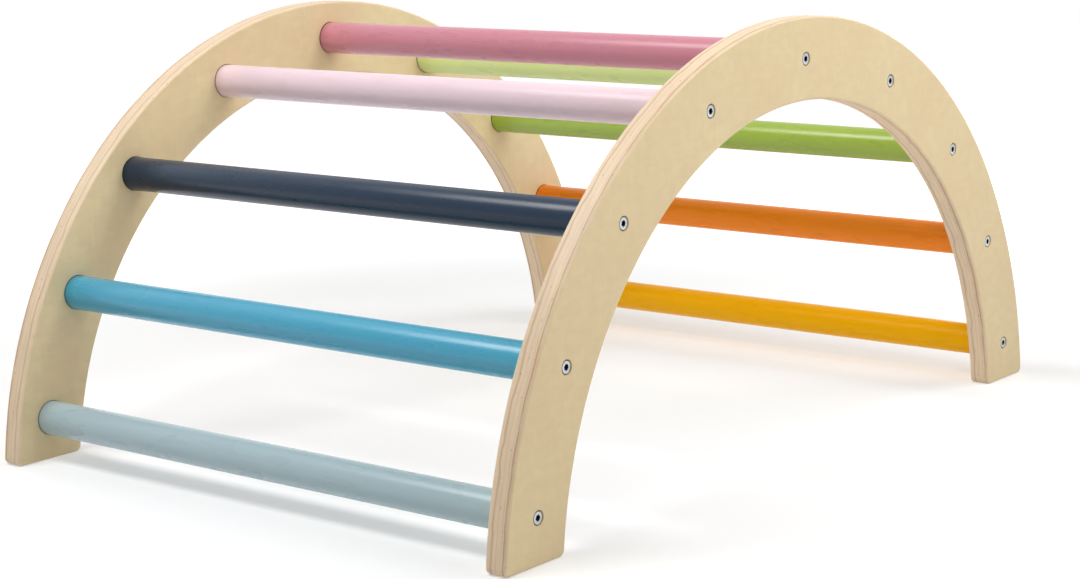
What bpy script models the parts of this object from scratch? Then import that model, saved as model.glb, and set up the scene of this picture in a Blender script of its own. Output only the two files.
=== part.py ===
"""Wooden climbing arch for small children.

Two plywood arch panels stand side by side and nine painted round rungs run between them. Each
rung end sits in a blind socket in the panel's inner face. A countersunk machine bolt with a hex
socket comes through the panel and into a threaded insert in the end of the rung.

Units are metres and +Z is up. X runs along the arch, Y along the rungs, and the origin is on the
floor at the middle of the footprint. A depth is measured inwards from a panel's outer face.
"""

import math

import bmesh
import bpy
from mathutils import Vector

# Arch panels: 21 mm birch plywood
OUTER_RADIUS = 0.435
BAND_WIDTH = 0.0745
ARC_CENTRE_DROP = 0.0325
PANEL_THICKNESS = 0.021
CLEAR_WIDTH = 0.558
EDGE_EASE = 0.0025
FOOT_CORNER_RADIUS = 0.006

# Rungs: round hardwood bars, painted
RUNG_DIAMETER = 0.032
RUNG_SOCKET_DEPTH = 0.008
RUNG_END_CHAMFER = 0.001
RUNG_BORE_SPARE = 0.001

# Places of the rungs, from the crown down one side: the share of the angle from the crown to the
# floor, and the share of the band's width from its inner edge
RUNG_PLACE_SHARES = ((0, 0.5), (0.262, 0.465), (0.513, 0.5), (0.732, 0.5), (0.934, 0.505))

# Countersunk bolts, M6 with a 4 mm key
BOLT_DIAMETER = 0.006
BOLT_LENGTH = 0.030
BOLT_HEAD_DIAMETER = 0.012
BOLT_HEAD_RIM = 0.0004
BOLT_HEAD_RECESS = 0.0006
BOLT_TIP_CHAMFER = 0.0008
HEX_KEY_SIZE = 0.004
HEX_SOCKET_DEPTH = 0.0022
HEX_SOCKET_POINT = 0.0006

# Threaded inserts in the rung ends
INSERT_DIAMETER = 0.010
INSERT_LENGTH = 0.015
INSERT_SETBACK = 0.0005
INSERT_LEAD_CHAMFER = 0.001

# Clearances
FIT_GAP = 0.0003
CUT_OVERRUN = 0.005
WELD_DISTANCE = 1e-6

# Faces per round shape
OUTER_ARC_STEPS = 60
INNER_ARC_STEPS = 48
FOOT_CORNER_STEPS = 4
EDGE_EASE_STEPS = 2
RUNG_STEPS = 20
HARDWARE_STEPS = 12
INSERT_STEPS = 10
EASED_EDGE_ANGLE = math.radians(60)
SHARP_ANGLE = math.radians(32)
COUNTERSINK_HALF_ANGLE = math.radians(45)

# Rungs from the near left foot over the top to the right foot
RUNG_FINISHES = (
    ("rung_1_grey_blue", "#A3B8BC"),
    ("rung_2_sky_blue", "#5CAED0"),
    ("rung_3_slate_navy", "#37424E"),
    ("rung_4_pale_pink", "#E6D2DC"),
    ("rung_5_dusty_rose", "#BD6A82"),
    ("rung_6_light_lime", "#B3CC74"),
    ("rung_7_grass_green", "#8CB93A"),
    ("rung_8_orange", "#E8771C"),
    ("rung_9_amber_yellow", "#F3A81E"),
)

# Sizes that follow from the ones above
INNER_RADIUS = OUTER_RADIUS - BAND_WIDTH
MID_RADIUS = OUTER_RADIUS - BAND_WIDTH / 2
ARC_CENTRE = Vector((0, -ARC_CENTRE_DROP))
HALF_WIDTH = CLEAR_WIDTH / 2 + PANEL_THICKNESS
CROWN_TO_FLOOR_ANGLE = math.acos(ARC_CENTRE_DROP / MID_RADIUS)

RUNG_RADIUS = RUNG_DIAMETER / 2
SOCKET_FLOOR_DEPTH = PANEL_THICKNESS - RUNG_SOCKET_DEPTH
RUNG_END_DEPTH = SOCKET_FLOOR_DEPTH + FIT_GAP
RUNG_LENGTH = 2 * (HALF_WIDTH - RUNG_END_DEPTH)

BOLT_RADIUS = BOLT_DIAMETER / 2
BOLT_HEAD_RADIUS = BOLT_HEAD_DIAMETER / 2
BOLT_HEAD_CONE = (BOLT_HEAD_RADIUS - BOLT_RADIUS) / math.tan(COUNTERSINK_HALF_ANGLE)
BOLT_TIP_DEPTH = BOLT_HEAD_RECESS + BOLT_LENGTH
CONE_SIDE_GAP = FIT_GAP / math.cos(COUNTERSINK_HALF_ANGLE)

INSERT_DEPTH = RUNG_END_DEPTH + INSERT_SETBACK
RUNG_BORE_FLOOR = max(INSERT_DEPTH + INSERT_LENGTH, BOLT_TIP_DEPTH) + RUNG_BORE_SPARE


def clear_scene():
    for old in list(bpy.data.objects):
        bpy.data.objects.remove(old)


def linear(hex_colour):
    """The linear RGBA of an sRGB hex colour."""
    shares = [int(hex_colour[i : i + 2], 16) / 255 for i in (1, 3, 5)]
    return [s / 12.92 if s <= 0.04045 else ((s + 0.055) / 1.055) ** 2.4 for s in shares] + [1]


def finish(name, hex_colour, roughness, metallic=0.0):
    material = bpy.data.materials.new(name)
    material.use_nodes = True
    shader = material.node_tree.nodes["Principled BSDF"]
    shader.inputs["Base Color"].default_value = linear(hex_colour)
    shader.inputs["Roughness"].default_value = roughness
    shader.inputs["Metallic"].default_value = metallic
    material.diffuse_color = linear(hex_colour)
    return material


def mesh_from(bm, name):
    """A closed mesh with its faces pointing out, smooth where it is round."""
    bmesh.ops.recalc_face_normals(bm, faces=bm.faces)
    mesh = bpy.data.meshes.new(name)
    bm.to_mesh(mesh)
    bm.free()
    mesh.shade_smooth()
    mesh.set_sharp_from_angle(angle=SHARP_ANGLE)
    return mesh


def add_object(name, mesh, parent, location=(0, 0, 0), tilt=0.0):
    """An object under its parent. The tilt turns it about the parent's X axis."""
    obj = bpy.data.objects.new(name, mesh)
    bpy.context.scene.collection.objects.link(obj)
    obj.parent = parent
    obj.location = location
    obj.rotation_euler.x = tilt
    return obj


def paint(obj, material):
    """Gives one object its own material, though its mesh may be shared."""
    if not obj.data.materials:
        obj.data.materials.append(None)
    obj.material_slots[0].link = "OBJECT"
    obj.material_slots[0].material = material


def arc(centre, radius, start, end, steps):
    """Points on an arc, both ends included. Angles are in radians from +X towards +Z."""
    angles = [start + (end - start) * i / steps for i in range(steps + 1)]
    return [centre + radius * Vector((math.cos(a), math.sin(a))) for a in angles]


def rung_places():
    """The (x, z) of each rung's axis, from the left foot over the crown to the right foot."""
    left_side = [(-around, across) for around, across in reversed(RUNG_PLACE_SHARES)]
    places = []
    for around, across in left_side[:-1] + list(RUNG_PLACE_SHARES):
        angle = around * CROWN_TO_FLOOR_ANGLE
        radius = INNER_RADIUS + across * BAND_WIDTH
        places.append(ARC_CENTRE + radius * Vector((math.sin(angle), math.cos(angle))))
    return places


def foot_corner(side, radius_to_corner):
    """Centre of a foot's corner round: just above the floor, and on the given circle."""
    height = FOOT_CORNER_RADIUS
    reach = math.sqrt(radius_to_corner**2 - (height + ARC_CENTRE_DROP) ** 2)
    return Vector((side * reach, height))


def bearing(point):
    """Direction of a point seen from the arcs' centre."""
    offset = point - ARC_CENTRE
    return math.atan2(offset.y, offset.x)


def panel_outline():
    """Two concentric arcs, cut off flat at the floor, with the four foot corners rounded."""
    steps = FOOT_CORNER_STEPS
    corner = FOOT_CORNER_RADIUS
    down = -math.pi / 2
    right_heel = foot_corner(1, OUTER_RADIUS - corner)
    left_heel = foot_corner(-1, OUTER_RADIUS - corner)
    right_toe = foot_corner(1, INNER_RADIUS + corner)
    left_toe = foot_corner(-1, INNER_RADIUS + corner)
    outer_start, outer_end = bearing(right_heel), bearing(left_heel)
    inner_start, inner_end = bearing(left_toe), bearing(right_toe)
    points = arc(right_heel, corner, down, outer_start, steps)
    points += arc(ARC_CENTRE, OUTER_RADIUS, outer_start, outer_end, OUTER_ARC_STEPS)[1:]
    points += arc(left_heel, corner, outer_end, math.pi - down, steps)[1:]
    points += arc(left_toe, corner, down, inner_start - math.pi, steps)
    points += arc(ARC_CENTRE, INNER_RADIUS, inner_start, inner_end, INNER_ARC_STEPS)[1:]
    points += arc(right_toe, corner, inner_end + math.pi, math.pi - down, steps)[1:]
    return points


def panel_mesh():
    """An arch panel with its outer face at y = 0 and its inner face towards +Y."""
    bm = bmesh.new()
    face = bm.faces.new([bm.verts.new((p.x, 0, p.y)) for p in panel_outline()])
    grown = bmesh.ops.extrude_face_region(bm, geom=[face])["geom"]
    inner_verts = [v for v in grown if isinstance(v, bmesh.types.BMVert)]
    bmesh.ops.translate(bm, verts=inner_verts, vec=(0, PANEL_THICKNESS, 0))
    return mesh_from(bm, "arch_panel")


def turned(profile, steps):
    """A solid of revolution about Z. The profile's (radius, z) points start and end on the axis."""
    bm = bmesh.new()
    verts = [bm.verts.new((radius, 0, z)) for radius, z in profile]
    edges = [bm.edges.new(pair) for pair in zip(verts, verts[1:])]
    spun = verts + edges
    bmesh.ops.spin(bm, geom=spun, axis=(0, 0, 1), angle=math.tau, steps=steps, use_merge=True)
    bmesh.ops.remove_doubles(bm, verts=bm.verts, dist=WELD_DISTANCE)
    return bm


def socket_cutter_mesh():
    """What is cut from a panel for one rung: the bolt's countersink and hole, then the socket."""
    rim_radius = BOLT_HEAD_RADIUS + CONE_SIDE_GAP
    rim_depth = BOLT_HEAD_RECESS + BOLT_HEAD_RIM
    hole_radius = BOLT_RADIUS + FIT_GAP
    cone_depth = rim_depth + (rim_radius - hole_radius) / math.tan(COUNTERSINK_HALF_ANGLE)
    socket_radius = RUNG_RADIUS + FIT_GAP
    past_inner_face = PANEL_THICKNESS + CUT_OVERRUN
    profile = (
        (0, -CUT_OVERRUN),
        (rim_radius, -CUT_OVERRUN),
        (rim_radius, rim_depth),
        (hole_radius, cone_depth),
        (hole_radius, SOCKET_FLOOR_DEPTH),
        (socket_radius, SOCKET_FLOOR_DEPTH),
        (socket_radius, past_inner_face),
        (0, past_inner_face),
    )
    return mesh_from(turned(profile, RUNG_STEPS), "socket_cutter")


def rung_mesh():
    """A round bar along Z, with chamfered ends and a blind bore for the insert in each."""
    half = RUNG_LENGTH / 2
    bore_radius = INSERT_DIAMETER / 2 + FIT_GAP
    bore_floor = HALF_WIDTH - RUNG_BORE_FLOOR
    upper_half = (
        (RUNG_RADIUS, half - RUNG_END_CHAMFER),
        (RUNG_RADIUS - RUNG_END_CHAMFER, half),
        (bore_radius, half),
        (bore_radius, bore_floor),
        (0, bore_floor),
    )
    lower_half = [(radius, -z) for radius, z in reversed(upper_half)]
    return mesh_from(turned(lower_half + list(upper_half), RUNG_STEPS), "rung")


def bolt_mesh():
    """A countersunk bolt along Z, its head's top at z = 0, with a hex socket in the head."""
    key_corner_radius = HEX_KEY_SIZE / 2 / math.cos(math.pi / 6)
    cone_end = BOLT_HEAD_RIM + BOLT_HEAD_CONE
    profile = (
        (0, HEX_SOCKET_DEPTH + HEX_SOCKET_POINT),
        (key_corner_radius, HEX_SOCKET_DEPTH),
        (key_corner_radius, 0),
        (BOLT_HEAD_RADIUS, 0),
        (BOLT_HEAD_RADIUS, BOLT_HEAD_RIM),
        (BOLT_RADIUS, cone_end),
        (BOLT_RADIUS, BOLT_LENGTH - BOLT_TIP_CHAMFER),
        (BOLT_RADIUS - BOLT_TIP_CHAMFER, BOLT_LENGTH),
        (0, BOLT_LENGTH),
    )
    bm = turned(profile, HARDWARE_STEPS)
    sixth = math.pi / 3
    for vert in bm.verts:
        on_key = abs(vert.co.xy.length - key_corner_radius) < WELD_DISTANCE
        if not on_key or vert.co.z > HEX_SOCKET_DEPTH + WELD_DISTANCE:
            continue
        from_flat = math.atan2(vert.co.y, vert.co.x) % sixth - sixth / 2
        vert.co.xy *= HEX_KEY_SIZE / 2 / math.cos(from_flat) / key_corner_radius
    return mesh_from(bm, "bolt")


def insert_mesh():
    """A threaded insert along Z, drawn as a sleeve that the bolt's thread fills."""
    bore_radius = BOLT_RADIUS + FIT_GAP
    outer_radius = INSERT_DIAMETER / 2
    profile = (
        (bore_radius, 0),
        (outer_radius, 0),
        (outer_radius, INSERT_LENGTH - INSERT_LEAD_CHAMFER),
        (outer_radius - INSERT_LEAD_CHAMFER, INSERT_LENGTH),
        (bore_radius, INSERT_LENGTH),
        (bore_radius, 0),
    )
    return mesh_from(turned(profile, INSERT_STEPS), "threaded_insert")


def ease_edges(panel):
    """Rounds the long edges of a panel, as a router does."""
    bevel = panel.modifiers.new("eased_edges", "BEVEL")
    bevel.limit_method = "ANGLE"
    bevel.angle_limit = EASED_EDGE_ANGLE
    bevel.width = EDGE_EASE
    bevel.segments = EDGE_EASE_STEPS


def cut_sockets(panel, cutters):
    """Cuts all of a panel's sockets in one step."""
    together = bpy.data.collections.new(panel.name + "_cutters")
    bpy.context.scene.collection.children.link(together)
    for cutter in cutters:
        cutter.hide_render = True
        cutter.display_type = "WIRE"
        bpy.context.scene.collection.objects.unlink(cutter)
        together.objects.link(cutter)
    cut = panel.modifiers.new("sockets", "BOOLEAN")
    cut.operation = "DIFFERENCE"
    cut.solver = "EXACT"
    cut.operand_type = "COLLECTION"
    cut.collection = together


def build_side(side, direction, meshes, materials):
    """One panel with its bolts and inserts. The direction is -1 on the near side, 1 on the far."""
    frame = bpy.data.objects.new(side + "_side", None)
    bpy.context.scene.collection.objects.link(frame)
    frame.location.y = direction * HALF_WIDTH
    frame.rotation_euler.z = math.pi if direction > 0 else 0
    inwards = -math.pi / 2
    panel = add_object(side + "_arch_panel", meshes["panel"], frame)
    paint(panel, materials["plywood"])
    ease_edges(panel)
    cutters = []
    for number, place in enumerate(rung_places(), 1):
        x = -direction * place.x

        def fit(name, mesh, depth):
            return add_object(f"{side}_{name}_{number}", mesh, frame, (x, depth, place.y), inwards)

        cutters.append(fit("socket_cutter", meshes["socket_cutter"], 0))
        paint(fit("bolt", meshes["bolt"], BOLT_HEAD_RECESS), materials["zinc"])
        paint(fit("insert", meshes["insert"], INSERT_DEPTH), materials["insert"])
    cut_sockets(panel, cutters)


def build_rungs(mesh):
    for (name, colour), place in zip(RUNG_FINISHES, rung_places()):
        rung = add_object(name, mesh, None, (place.x, 0, place.y), -math.pi / 2)
        paint(rung, finish(name + "_paint", colour, 0.35))


def main():
    clear_scene()
    meshes = {
        "panel": panel_mesh(),
        "socket_cutter": socket_cutter_mesh(),
        "bolt": bolt_mesh(),
        "insert": insert_mesh(),
    }
    materials = {
        "plywood": finish("birch_plywood", "#DCC6A0", 0.55),
        "zinc": finish("zinc_plated_steel", "#B9BCC0", 0.32, 1.0),
        "insert": finish("zinc_alloy", "#A9A79F", 0.45, 1.0),
    }
    build_side("near", -1, meshes, materials)
    build_side("far", 1, meshes, materials)
    build_rungs(rung_mesh())


main()
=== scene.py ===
"""Looks of a low wooden climbing arch for small children.

Two arch panels of birch plywood carry nine painted rungs. Each rung end sits in a socket in a
panel's inner face, and a countersunk bolt holds it from the outer face by a threaded insert.

Units are metres and +Z is up. X runs along the arch, Y along the rungs, and the near panel is at
-Y. A depth is measured inwards from a panel's outer face. Names that end in mm are millimetres.
"""

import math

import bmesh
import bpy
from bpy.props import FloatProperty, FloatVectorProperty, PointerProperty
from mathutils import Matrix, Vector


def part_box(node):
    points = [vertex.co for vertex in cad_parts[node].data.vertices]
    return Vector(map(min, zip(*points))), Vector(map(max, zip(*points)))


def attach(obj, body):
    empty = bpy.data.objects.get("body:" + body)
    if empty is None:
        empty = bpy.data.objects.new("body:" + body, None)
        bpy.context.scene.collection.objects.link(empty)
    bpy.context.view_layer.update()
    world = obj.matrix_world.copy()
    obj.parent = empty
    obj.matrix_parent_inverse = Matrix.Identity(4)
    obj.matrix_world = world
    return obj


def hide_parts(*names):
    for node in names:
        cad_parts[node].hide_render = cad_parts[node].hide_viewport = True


bl_info = {
    "name": "Climbing Arch",
    "version": (1, 0, 0),
    "blender": (4, 5, 0),
    "location": "View3D > Sidebar > Climbing Arch",
    "description": "Makes the panels, rungs, bolts and inserts of a wooden climbing arch",
    "category": "Add Mesh",
}

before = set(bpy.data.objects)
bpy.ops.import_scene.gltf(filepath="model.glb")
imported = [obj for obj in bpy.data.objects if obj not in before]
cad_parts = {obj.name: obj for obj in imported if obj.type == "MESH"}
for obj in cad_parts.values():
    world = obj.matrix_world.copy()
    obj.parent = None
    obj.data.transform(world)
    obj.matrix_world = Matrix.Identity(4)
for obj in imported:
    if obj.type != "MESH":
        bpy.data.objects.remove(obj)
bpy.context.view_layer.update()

# The side of the arch that a piece belongs to, and the way from its outer face to the inside
INWARDS = {"near": 1, "far": -1}

# Each rung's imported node, its record slot, the sRGB colour of its enamel paint and its gloss.
# Gloss is the specular level: pale and bright paints have less, so the white light doesn't wash
# out their colour.
RUNGS = (
    ("rung_1_grey_blue", "grey_blue_paint", "#B3CAD1", 0.38),
    ("rung_2_sky_blue", "sky_blue_paint", "#42A8C9", 0.6),
    ("rung_3_slate_navy", "slate_navy_paint", "#00253F", 0.42),
    ("rung_4_pale_pink", "pale_pink_paint", "#F4DAE2", 0.25),
    ("rung_5_dusty_rose", "dusty_rose_paint", "#D18897", 0.4),
    ("rung_6_light_lime", "light_lime_paint", "#D5E496", 0.3),
    ("rung_7_grass_green", "grass_green_paint", "#98B13E", 0.55),
    ("rung_8_orange", "orange_paint", "#FF8C00", 0.3),
    ("rung_9_amber_yellow", "amber_yellow_paint", "#FFBC00", 0.12),
)
RUNG_COUNT = len(RUNGS)

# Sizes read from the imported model
PANEL_LOW, PANEL_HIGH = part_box("near_arch_panel")
HALF_WIDTH = -PANEL_LOW.y
PANEL_THICKNESS = PANEL_HIGH.y - PANEL_LOW.y
CROWN_HEIGHT = PANEL_HIGH.z
RUNG_LOW, RUNG_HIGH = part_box(RUNGS[0][0])
RUNG_DIAMETER = RUNG_HIGH.x - RUNG_LOW.x
RUNG_LENGTH = RUNG_HIGH.y - RUNG_LOW.y
BOLT_LOW, BOLT_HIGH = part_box("near_bolt_1")
BOLT_HEAD_DIAMETER = BOLT_HIGH.x - BOLT_LOW.x
BOLT_LENGTH = BOLT_HIGH.y - BOLT_LOW.y
BOLT_HEAD_RECESS = BOLT_LOW.y - PANEL_LOW.y
INSERT_LOW, INSERT_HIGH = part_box("near_insert_1")
INSERT_DIAMETER = INSERT_HIGH.z - INSERT_LOW.z
INSERT_LENGTH = INSERT_HIGH.y - INSERT_LOW.y
INSERT_DEPTH = INSERT_LOW.y - PANEL_LOW.y

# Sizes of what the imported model's boxes don't give
OUTER_RADIUS = 0.435
BAND_WIDTH = 0.0745
EDGE_EASE = 0.0025
FOOT_CORNER_RADIUS = 0.006
BOLT_DIAMETER = 0.006
BOLT_HEAD_RIM = 0.0004
BOLT_PITCH = 0.001
BOLT_HEAD_BEVEL = 0.0009
HEX_KEY_SIZE = 0.004
HEX_SOCKET_DEPTH = 0.0022
HEX_SOCKET_POINT = 0.0006
HEX_MOUTH_BEVEL = 0.0007
INSERT_PITCH = 0.0025
INSERT_COLLAR = 0.001
INSERT_THREAD_DEPTH = 0.0009
FIT_GAP = 0.0003
RUNG_END_ROUND = 0.001
RUNG_BORE_SPARE = 0.001
HOLE_EDGE_BREAK = 0.0003

# Shares of a thread's pitch or radius
BOLT_THREAD_DEPTH_SHARE = 0.6
BOLT_NECK_PITCHES = 2
BOLT_TIP_SHARE = 0.9
INSERT_TIP_SHARE = 0.95

# Each bolt stopped turning at another angle
BOLT_TURN = math.radians(25)

# Sizes that follow from the ones above
ARC_CENTRE_DROP = OUTER_RADIUS - CROWN_HEIGHT
ARC_CENTRE = Vector((0, 0, -ARC_CENTRE_DROP))
SOCKET_FLOOR_DEPTH = HALF_WIDTH - RUNG_LENGTH / 2 - FIT_GAP

# Faces per round shape, and how shapes are closed and shaded
ARC_STEPS = 320
CORNER_STEPS = 8
EASE_STEPS = 5
RUNG_END_STEPS = 4
HOLE_STEPS = 64
HEX_SIDES = 6
RUNG_STEPS = 96
BOLT_STEPS = 36
THREAD_RINGS_PER_TURN = 5
CUT_OVERRUN = 0.005
WELD_DISTANCE = 2e-5
EASED_EDGE_ANGLE = math.radians(60)
SHARP_ANGLE = math.radians(32)
COUNTERSINK_HALF_ANGLE = math.radians(45)

MILLIMETRES = 1000.0
WHITE = (1.0, 1.0, 1.0, 1.0)

# Nearly all of a noise's values lie in this range
NOISE_LOW, NOISE_HIGH = 0.3, 0.7

# Plywood pattern, in millimetres. The panels and their faces read different parts of each noise.
PANEL_PATTERN_SHIFT_MM = 900.0
# A glue line's depth, half thickness, strength, and how far it wanders
GLUE_LINES_MM = (
    (1.3, 0.6, 0.3, 3),
    (3.0, 1.7, 0.75, 3),
    (5.6, 0.7, 0.3, 4),
    (10.4, 0.7, 0.25, 4),
    (15.3, 1.8, 0.5, 7),
)
# The depths from a face over which its veneer gives way to the sawn edge's colours
FACE_VENEER_MM = (0.2, 1.0)
# A noise's name, the coordinates it reads, its grain's size along each of them, and its detail
PLYWOOD_NOISES = (
    ("wander", "edge", (32, 90, 90), 2.0),
    ("breaks", "edge", (25, 5, 60), 2.0),
    ("sawn", "edge", (35, 7, 60), 2.0),
    ("streaks", "edge", (16, 0.8, 30), 2.0),
    ("flecks", "edge", (4.5, 1.1, 15), 0.0),
    ("patches", "face", (55, 30, 90), 2.0),
    ("mottles", "face", (13, 30, 10), 1.0),
    ("curl", "face", (20, 30, 5), 2.0),
    ("grain", "face", (3.0, 30, 60), 1.0),
)
# A layer's noise, the range of it that counts, the layer's greatest strength, the sidebar's
# colour that it brings in, and the share of that colour's brightness
PLYWOOD_LAYERS = {
    "edge": (
        ("sawn", (0.35, 0.65), 1.0, "edge", 0.93),
        ("streaks", (0.50, 0.75), 0.4, "edge", 0.80),
        ("glue_lines", (0.0, 1.0), 1.0, "glue", 1.0),
        ("flecks", (0.79, 0.84), 0.75, "fleck", 1.0),
    ),
    "face": (
        ("patches", (0.35, 0.65), 1.0, "warm_face", 1.0),
        ("mottles", (0.35, 0.65), 0.4, "warm_face", 0.93),
        ("curl", (0.50, 0.75), 0.4, "warm_face", 0.92),
        ("grain", (0.48, 0.75), 0.25, "face", 0.88),
    ),
}
# The range of the breaks' noise over which the glue lines grow to full strength, and their share
# of it where they are most broken up
BREAKS_RANGE = (0.3, 0.5)
BROKEN_LINE_SHARE = 0.5
# The plywood's roughness, what its curly figure adds to it, and the relief of its grain in metres
FACE_ROUGHNESS = 0.48
EDGE_ROUGHNESS = 0.40
CURL_ROUGHNESS = 0.16
WOOD_BUMP_STRENGTH = 0.3
WOOD_BUMP_HEIGHT = 0.0002

# Paint pattern, in millimetres. A noise's name, its grain's size along each axis, and its detail
PAINT_NOISES = (
    ("ridges", (4, 90, 4), 0.0),
    ("waves", (10, 40, 10), 1.0),
)
# A bump's noise, its strength and its height in metres
PAINT_BUMPS = (
    ("ridges", 0.08, 0.00015),
    ("waves", 0.10, 0.0010),
)
# How far along Y each rung reads the pattern from the one before, in metres
RUNG_PATTERN_STEP = 0.7
PAINT_ROUGHNESS = (0.26, 0.31)
# The share of the paint's brightness in its darker clouds
CLOUD_SHARE = 0.98
SPECK_SPACING_MM = 18.0
# The radii where a speck starts to fade and ends, as shares of the spacing, and its strength
SPECK_RADIUS_SHARES = (0.01, 0.03)
SPECK_STRENGTH = 0.35
# Painted shade where the paint meets the panel, a dark contact line round the rung: its width,
# strength and brightness
PAINTED_CONTACT_SHADE_WIDTH = 0.0012
CONTACT_SHADE_STRENGTH = 0.7
CONTACT_SHADE_SHARE = 0.25

# Plating: its clouds' size and detail, what they take from its roughness and add to it, and the
# share of its brightness where they are darkest
PLATING_CLOUD_MM = 2.5
PLATING_DETAIL = 3.0
PLATING_SHINIER = 0.06
PLATING_DULLER = 0.08
PLATING_DARK_SHARE = 0.86
BOLT_ROUGHNESS = 0.3
BEVEL_ROUGHNESS = 0.4
SOCKET_ROUGHNESS = 0.4
INSERT_ROUGHNESS = 0.45

# Camera, from the photograph's perspective
CAMERA_PLACE = Vector((-1.7113, -1.3565, 0.5374))
CAMERA_HEADING = math.radians(51.80)
CAMERA_TILT = math.radians(10.16)
CAMERA_ROLL = math.radians(-1.0)
CAMERA_LENS_MM = 75.18
CAMERA_SENSOR_MM = 36.0
CAMERA_SHIFT = (-0.0116, -0.0180)

# Each light's name, place, length and width; the sidebar gives its power
LIGHTS = (
    ("key", Vector((-0.95, 0.05, 1.90)), 0.65, 0.8),
    ("key_far", Vector((-0.95, 0.70, 1.90)), 0.65, 0.8),
    ("front_high", Vector((0.69, -0.85, 1.45)), 0.8, 1.2),
    ("front_low", Vector((0.0, -1.43, 1.08)), 0.8, 0.8),
    ("left", Vector((-1.09, -0.92, 1.08)), 0.8, 0.8),
    ("right", Vector((1.65, 0.0, 0.56)), 0.8, 0.8),
    ("back", Vector((-0.29, 1.62, 0.56)), 0.8, 0.8),
)
LIGHT_AIM = Vector((0, 0, 0.15))

# The floor lies just under the feet. Its glow grows with the distance from the middle, between
# the start and the end, and only a share of it lights the arch.
FLOOR_SIZE = 24.0
FLOOR_GAP = 0.0001
FLOOR_ROUGHNESS = 0.9
NEAR_FLOOR_GLOW = 0.36
FAR_FLOOR_GLOW = 1.0
GLOW_START = 0.7
GLOW_END = 1.5
FLOOR_LIGHT_SHARE = 0.5
ROOM_LEVEL = 0.01


def linear(hex_colour):
    """The scene-linear RGBA of an sRGB hex colour."""
    shares = [int(hex_colour[i : i + 2], 16) / 255 for i in (1, 3, 5)]
    return [s / 12.92 if s <= 0.04045 else ((s + 0.055) / 1.055) ** 2.4 for s in shares] + [1.0]


def darker(colour, share):
    """The same colour at a share of its brightness."""
    return [channel * share for channel in colour[:3]] + [1.0]


def colour_setting(name, description, hex_colour):
    """A colour that the sidebar shows."""
    return FloatVectorProperty(
        name=name, description=description, default=linear(hex_colour), subtype="COLOR",
        size=4, min=0.0, max=1.0,
    )


def length_setting(name, description, default):
    """A length that the sidebar shows."""
    return FloatProperty(
        name=name, description=description, default=default, min=0.0, precision=4,
        subtype="DISTANCE", unit="LENGTH",
    )


def power_setting(name, description, default):
    """A light's power that the sidebar shows."""
    return FloatProperty(
        name=name, description=description, default=default, min=0.0,
        subtype="POWER", unit="POWER",
    )


class ArchPanelSettings(bpy.types.PropertyGroup):
    """Sizes and colours of the two plywood panels."""

    outer_radius: length_setting("Outer radius", "Radius of the band's outer edge", OUTER_RADIUS)
    band_width: length_setting("Band width", "Width of the band across its face", BAND_WIDTH)
    edge_ease: length_setting("Edge ease", "Radius of the routed long edges", EDGE_EASE)
    corner: length_setting("Foot corner", "Radius of the foot corners", FOOT_CORNER_RADIUS)
    face: colour_setting("Face veneer", "Birch veneer of the panel faces", "#EAD6A9")
    warm_face: colour_setting("Warm patches", "Warmer patches of the face veneer", "#E8D0A4")
    edge: colour_setting("Sawn edge", "Veneers seen at the sawn edge", "#EED5B5")
    glue: colour_setting("Glue lines", "Dark lines between the veneers", "#B3865A")
    fleck: colour_setting("Flecks", "Brown flecks in the sawn edge", "#7A5436")


class RungSettings(bpy.types.PropertyGroup):
    """Size of the rungs and the colours of their paints."""

    end_round: length_setting("End round", "Radius at the rung ends", RUNG_END_ROUND)
    grey_blue: colour_setting("Grey-blue", "Enamel paint of rung 1", RUNGS[0][2])
    sky_blue: colour_setting("Sky blue", "Enamel paint of rung 2", RUNGS[1][2])
    slate_navy: colour_setting("Slate navy", "Enamel paint of rung 3", RUNGS[2][2])
    pale_pink: colour_setting("Pale pink", "Enamel paint of rung 4", RUNGS[3][2])
    dusty_rose: colour_setting("Dusty rose", "Enamel paint of rung 5", RUNGS[4][2])
    light_lime: colour_setting("Light lime", "Enamel paint of rung 6", RUNGS[5][2])
    grass_green: colour_setting("Grass green", "Enamel paint of rung 7", RUNGS[6][2])
    orange: colour_setting("Orange", "Enamel paint of rung 8", RUNGS[7][2])
    amber_yellow: colour_setting("Amber yellow", "Enamel paint of rung 9", RUNGS[8][2])


class HardwareSettings(bpy.types.PropertyGroup):
    """Sizes and colours of the bolts and the threaded inserts."""

    bolt_diameter: length_setting("Bolt diameter", "Outer diameter of the thread", BOLT_DIAMETER)
    bolt_pitch: length_setting("Bolt pitch", "Distance between the bolt's threads", BOLT_PITCH)
    hex_size: length_setting("Hex key", "Size of the key across its flats", HEX_KEY_SIZE)
    insert_pitch: length_setting("Insert pitch", "Distance between the wood threads", INSERT_PITCH)
    zinc: colour_setting("Zinc plating", "Bright zinc plating of the bolts", "#CACFCE")
    # The head bevels' dark colour is painted shade, standing in for the shadowed gap round each
    # bolt head
    bevel: colour_setting("Head bevels", "Thin plating on the edges of the bolt heads", "#5F6361")
    # The hex sockets' dark colour is partly oil and partly painted shade for the deep recess
    socket: colour_setting("Hex socket", "Oiled steel inside the hex sockets", "#202C38")
    insert: colour_setting("Insert", "Die-cast zinc alloy of the inserts", "#A9A79F")


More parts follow.
